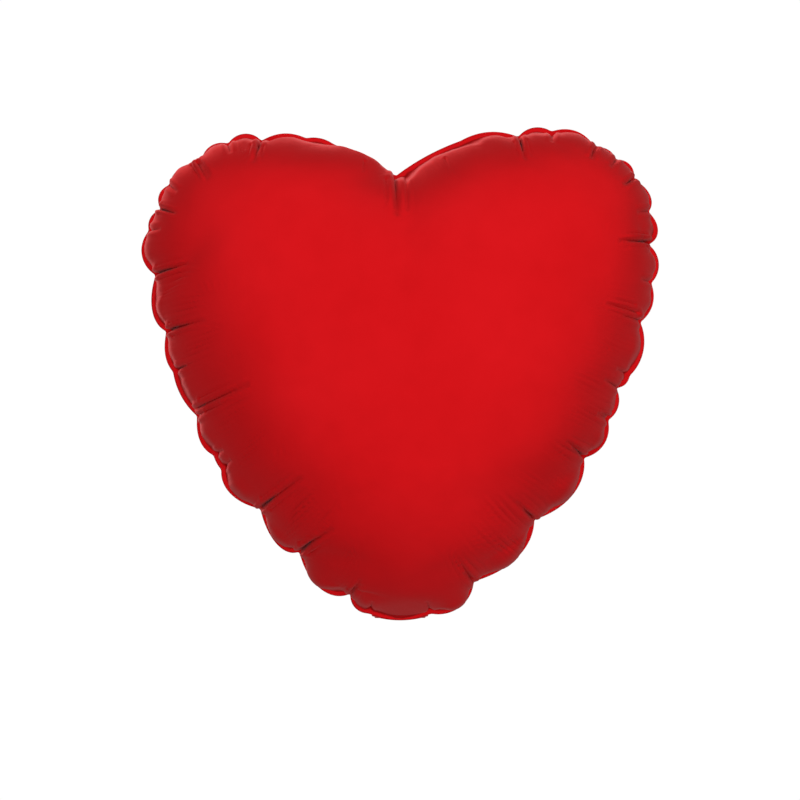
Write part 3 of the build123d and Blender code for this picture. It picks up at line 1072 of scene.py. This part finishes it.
def make_backdrop():
    """A floor that curves up into a wall all round."""
    turns = np.linspace(-math.pi / 2, 0, 12)
    profile = [(BACKDROP_RADIUS * share, FLOOR_Z) for share in (0, 0.25, 0.5)]
    bend_x, bend_z = BACKDROP_RADIUS - BACKDROP_BEND, FLOOR_Z + BACKDROP_BEND
    profile += [(bend_x + BACKDROP_BEND * math.cos(t), bend_z + BACKDROP_BEND * math.sin(t)) for t in turns]
    profile.append((BACKDROP_RADIUS, BACKDROP_HEIGHT))
    shape = bmesh.new()
    line = [shape.verts.new((r, 0, z)) for r, z in profile]
    edges = [shape.edges.new(pair) for pair in zip(line, line[1:])]
    bmesh.ops.spin(shape, geom=line + edges, cent=(0, 0, 0), axis=(0, 0, 1), angle=math.tau, steps=64,
                   use_merge=True, use_duplicate=False)
    bmesh.ops.remove_doubles(shape, verts=shape.verts, dist=1e-5)
    mesh = bpy.data.meshes.new("backdrop")
    shape.to_mesh(mesh)
    shape.free()
    mesh.polygons.foreach_set("use_smooth", np.ones(len(mesh.polygons), bool))
    mesh.materials.append(backdrop_material())
    backdrop = bpy.data.objects.new("backdrop", mesh)
    bpy.context.scene.collection.objects.link(backdrop)
    backdrop.visible_diffuse = backdrop.visible_glossy = backdrop.visible_shadow = False
    backdrop.visible_transmission = False


def add_light(name, place, size, watts):
    """A soft square light that faces the balloon."""
    light = bpy.data.lights.new(name, "AREA")
    light.size = size
    light.energy = watts
    lamp = bpy.data.objects.new(name, light)
    lamp.location = place
    lamp.rotation_euler = (LIT_POINT - Vector(place)).to_track_quat("-Z", "Y").to_euler()
    lamp.visible_camera = False
    bpy.context.scene.collection.objects.link(lamp)


def light_studio():
    """A large key light in front, a weaker fill behind, and a pale room."""
    for light in LIGHTS:
        add_light(*light)
    world = bpy.data.worlds.new("room")
    world.use_nodes = True
    room = world.node_tree.nodes["Background"]
    room.inputs["Color"].default_value = (1, 1, 1, 1)
    room.inputs["Strength"].default_value = ROOM_LIGHT
    bpy.context.scene.world = world


def add_camera():
    """A long lens, level and square to the front, as in the photo."""
    lens = bpy.data.cameras.new("camera")
    lens.lens = LENS
    lens.sensor_width = SENSOR
    camera = bpy.data.objects.new("camera", lens)
    camera.location = CAMERA_PLACE
    camera.rotation_euler = (math.pi / 2, 0, 0)
    bpy.context.scene.collection.objects.link(camera)
    bpy.context.scene.camera = camera
    bpy.context.scene.view_settings.view_transform = "Standard"


def finish_piece(piece, material, node):
    """Gives a piece its material, and hides the CAD node that it stands for."""
    piece.data.materials.append(material)
    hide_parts(node)


def finish_heart(foil, weld):
    """Makes the two panels and the seam between them."""
    skin = flat_skin()
    blown = blow_up(skin)
    front = make_panel("front_foil", skin, blown, front_folds(), -1, FRONT_SEED)
    rear = make_panel("rear_foil", skin, blown, rear_folds(), 1, REAR_SEED)
    band = make_seam_band(skin, blown)
    finish_piece(front, foil, "front_panel")
    finish_piece(rear, foil, "rear_panel")
    finish_piece(band, weld, "seam_weld")
    for piece in (front, rear, band):
        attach(piece, "balloon")


def finish_neck(foil, weld, film):
    """Makes the neck's pieces, which bend round the fold below the tip."""
    front, rear = make_neck_foils()
    left, right, end = make_neck_bands()
    valve_front, valve_rear = make_neck_valve()
    finish_piece(front, foil, "neck_front_film")
    finish_piece(rear, foil, "neck_rear_film")
    finish_piece(left, weld, "neck_side_welds")
    finish_piece(right, weld, "neck_side_welds")
    finish_piece(end, weld, "neck_end_weld")
    finish_piece(valve_front, film, "neck_valve_front_film")
    finish_piece(valve_rear, film, "neck_valve_rear_film")
    for piece in (front, rear, left, right, end, valve_front, valve_rear):
        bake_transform(piece)


def finish_inside(weld, film, coat):
    """Gives the valve's CAD nodes, which stay as they are, their materials."""
    materials = {"valve_crossing_weld": weld, "valve_side_welds": film, "valve_release_coat": coat,
                 "valve_front_film": film, "valve_rear_film": film}
    for name, material in materials.items():
        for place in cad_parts[name].material_slots:
            place.material = material


def main():
    foil, weld = foil_material(), weld_material()
    film, coat = valve_film_material(), coat_material()
    finish_heart(foil, weld)
    finish_neck(foil, weld, film)
    finish_inside(weld, film, coat)
    make_backdrop()
    light_studio()
    add_camera()


main()
